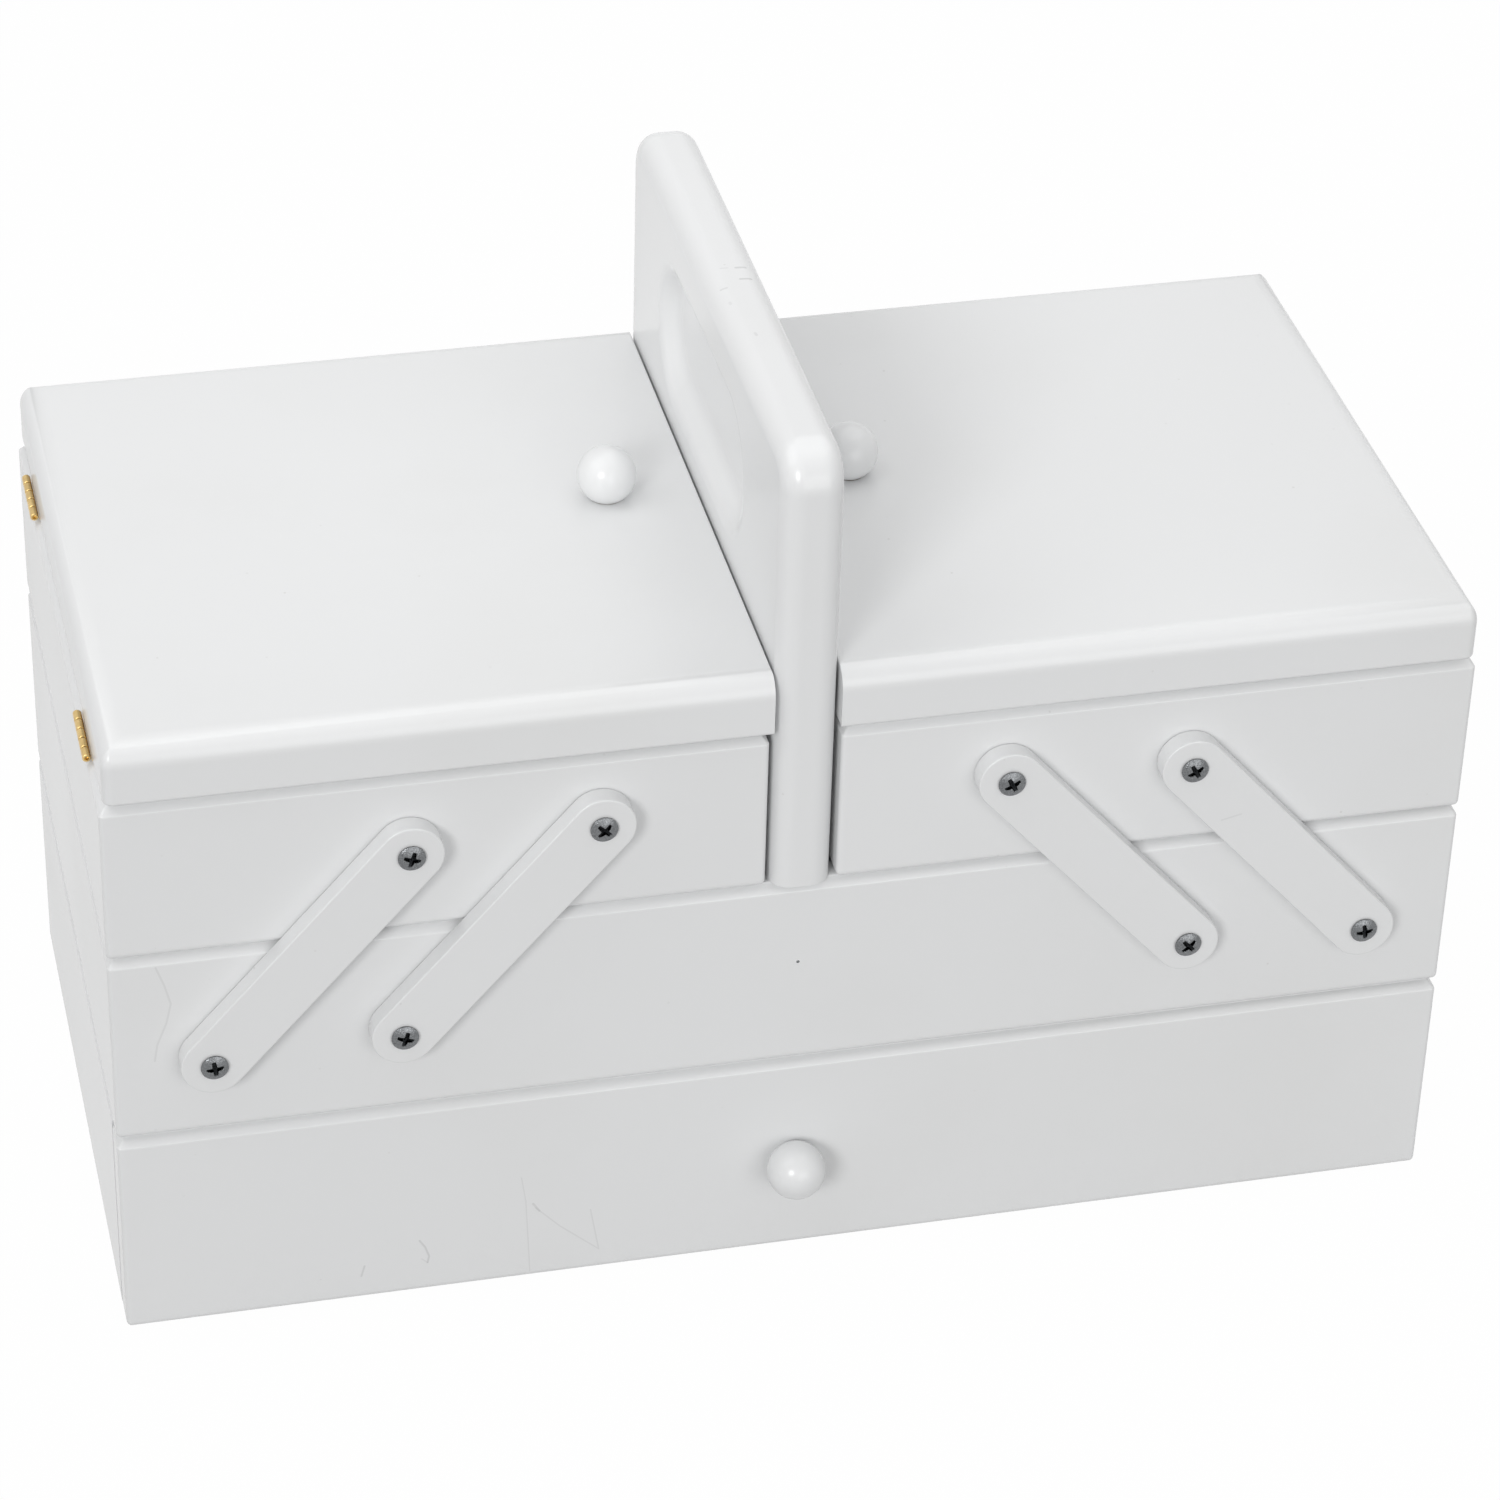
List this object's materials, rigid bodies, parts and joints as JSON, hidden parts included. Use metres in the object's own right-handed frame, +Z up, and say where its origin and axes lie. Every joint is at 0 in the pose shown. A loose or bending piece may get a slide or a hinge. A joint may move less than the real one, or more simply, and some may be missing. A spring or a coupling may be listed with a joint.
{
  "type": "cantilever sewing box",
  "caption": "White wooden cantilever sewing box: lidded trays swing outwards on parallel links over a fixed middle tier with an upright grip board and a drawer below.",
  "frame": {"origin": "centre of the underside of the base", "axes": "+X to the right along the length, +Y from the front to the back, +Z up"},
  "size_m": [0.4026, 0.2244, 0.2793],
  "materials": {
    "white_lacquer": "satin white lacquer",
    "white_panel": "satin white paint on plywood",
    "brass": "plated, lightly tarnished",
    "screw_metal": "dark bright plating",
    "nail_steel": "plain steel"
  },
  "bodies": {
    "carcass": {"base_left_side": "white_lacquer", "base_right_side": "white_lacquer", "base_back": "white_lacquer", "base_bottom": "white_panel", "middle_front_wall": "white_lacquer", "middle_back_wall": "white_lacquer", "middle_left_wall": "white_lacquer", "middle_right_wall": "white_lacquer", "middle_floor": "white_panel", "handle_board": "white_lacquer", "handle_nails": "nail_steel", "lower_pivot_screws": "screw_metal"},
    "drawer": {"drawer_front": "white_lacquer", "drawer_left_side": "white_lacquer", "drawer_right_side": "white_lacquer", "drawer_back": "white_lacquer", "drawer_bottom": "white_panel", "drawer_knob": "white_lacquer", "drawer_knob_screw": "screw_metal"},
    "left_tray": {"left_tray_front": "white_lacquer", "left_tray_back": "white_lacquer", "left_tray_outer_wall": "white_lacquer", "left_tray_inner_wall": "white_lacquer", "left_tray_bottom": "white_panel", "left_tray_pivot_screws": "screw_metal", "left_tray_hinge_leaves": "brass", "left_tray_hinge_pins": "brass", "left_tray_hinge_screws": "brass"},
    "left_lid": {"left_lid": "white_lacquer", "left_lid_knob": "white_lacquer", "left_lid_knob_screw": "screw_metal", "left_lid_hinge_leaves": "brass", "left_lid_hinge_screws": "brass"},
    "left_front_outer_link": {"left_front_outer_link": "white_lacquer"},
    "left_front_inner_link": {"left_front_inner_link": "white_lacquer"},
    "left_back_outer_link": {"left_back_outer_link": "white_lacquer"},
    "left_back_inner_link": {"left_back_inner_link": "white_lacquer"},
    "right_tray": {"right_tray_front": "white_lacquer", "right_tray_back": "white_lacquer", "right_tray_outer_wall": "white_lacquer", "right_tray_inner_wall": "white_lacquer", "right_tray_bottom": "white_panel", "right_tray_pivot_screws": "screw_metal", "right_tray_hinge_leaves": "brass", "right_tray_hinge_pins": "brass", "right_tray_hinge_screws": "brass"},
    "right_lid": {"right_lid": "white_lacquer", "right_lid_knob": "white_lacquer", "right_lid_knob_screw": "screw_metal", "right_lid_hinge_leaves": "brass", "right_lid_hinge_screws": "brass"},
    "right_front_outer_link": {"right_front_outer_link": "white_lacquer"},
    "right_front_inner_link": {"right_front_inner_link": "white_lacquer"},
    "right_back_outer_link": {"right_back_outer_link": "white_lacquer"},
    "right_back_inner_link": {"right_back_inner_link": "white_lacquer"}
  },
  "joints": [
    {"name": "drawer_slide", "type": "slide", "parent": "carcass", "child": "drawer", "axis": [0, -1, 0], "range_m": [0, 0.15]},
    {"name": "left_front_outer_swing", "type": "hinge", "parent": "carcass", "child": "left_front_outer_link", "pos_m": [-0.1717, -0.1033, 0.0995], "axis": [0, -1, 0], "range_deg": [0, 82.73]},
    {"name": "left_front_inner_swing", "type": "hinge", "parent": "carcass", "child": "left_front_inner_link", "pos_m": [-0.1169, -0.1033, 0.102], "axis": [0, -1, 0], "range_deg": [0, 82.73]},
    {"name": "left_back_outer_swing", "type": "hinge", "parent": "carcass", "child": "left_back_outer_link", "pos_m": [-0.1717, 0.1033, 0.0995], "axis": [0, -1, 0], "range_deg": [0, 82.73]},
    {"name": "left_back_inner_swing", "type": "hinge", "parent": "carcass", "child": "left_back_inner_link", "pos_m": [-0.1169, 0.1033, 0.102], "axis": [0, -1, 0], "range_deg": [0, 82.73]},
    {"name": "left_tray_level", "type": "hinge", "parent": "left_front_outer_link", "child": "left_tray", "pos_m": [-0.1142, -0.1033, 0.1648], "axis": [0, -1, 0], "range_deg": [-82.73, 0]},
    {"name": "left_lid_hinge", "type": "hinge", "parent": "left_tray", "child": "left_lid", "pos_m": [-0.2001, 0, 0.1889], "axis": [0, -1, 0], "range_deg": [0, 180]},
    {"name": "right_front_outer_swing", "type": "hinge", "parent": "carcass", "child": "right_front_outer_link", "pos_m": [0.1717, -0.1033, 0.0995], "axis": [0, 1, 0], "range_deg": [0, 82.73]},
    {"name": "right_front_inner_swing", "type": "hinge", "parent": "carcass", "child": "right_front_inner_link", "pos_m": [0.1169, -0.1033, 0.102], "axis": [0, 1, 0], "range_deg": [0, 82.73]},
    {"name": "right_back_outer_swing", "type": "hinge", "parent": "carcass", "child": "right_back_outer_link", "pos_m": [0.1717, 0.1033, 0.0995], "axis": [0, 1, 0], "range_deg": [0, 82.73]},
    {"name": "right_back_inner_swing", "type": "hinge", "parent": "carcass", "child": "right_back_inner_link", "pos_m": [0.1169, 0.1033, 0.102], "axis": [0, 1, 0], "range_deg": [0, 82.73]},
    {"name": "right_tray_level", "type": "hinge", "parent": "right_front_outer_link", "child": "right_tray", "pos_m": [0.1142, -0.1033, 0.1648], "axis": [0, 1, 0], "range_deg": [-82.73, 0]},
    {"name": "right_lid_hinge", "type": "hinge", "parent": "right_tray", "child": "right_lid", "pos_m": [0.2001, 0, 0.1889], "axis": [0, 1, 0], "range_deg": [0, 180]}
  ],
  "couplings": [
    {"joint": "left_front_inner_swing", "follows": "left_front_outer_swing", "ratio": 1},
    {"joint": "left_back_outer_swing", "follows": "left_front_outer_swing", "ratio": 1},
    {"joint": "left_back_inner_swing", "follows": "left_front_outer_swing", "ratio": 1},
    {"joint": "left_tray_level", "follows": "left_front_outer_swing", "ratio": -1},
    {"joint": "right_front_inner_swing", "follows": "right_front_outer_swing", "ratio": 1},
    {"joint": "right_back_outer_swing", "follows": "right_front_outer_swing", "ratio": 1},
    {"joint": "right_back_inner_swing", "follows": "right_front_outer_swing", "ratio": 1},
    {"joint": "right_tray_level", "follows": "right_front_outer_swing", "ratio": -1}
  ]
}
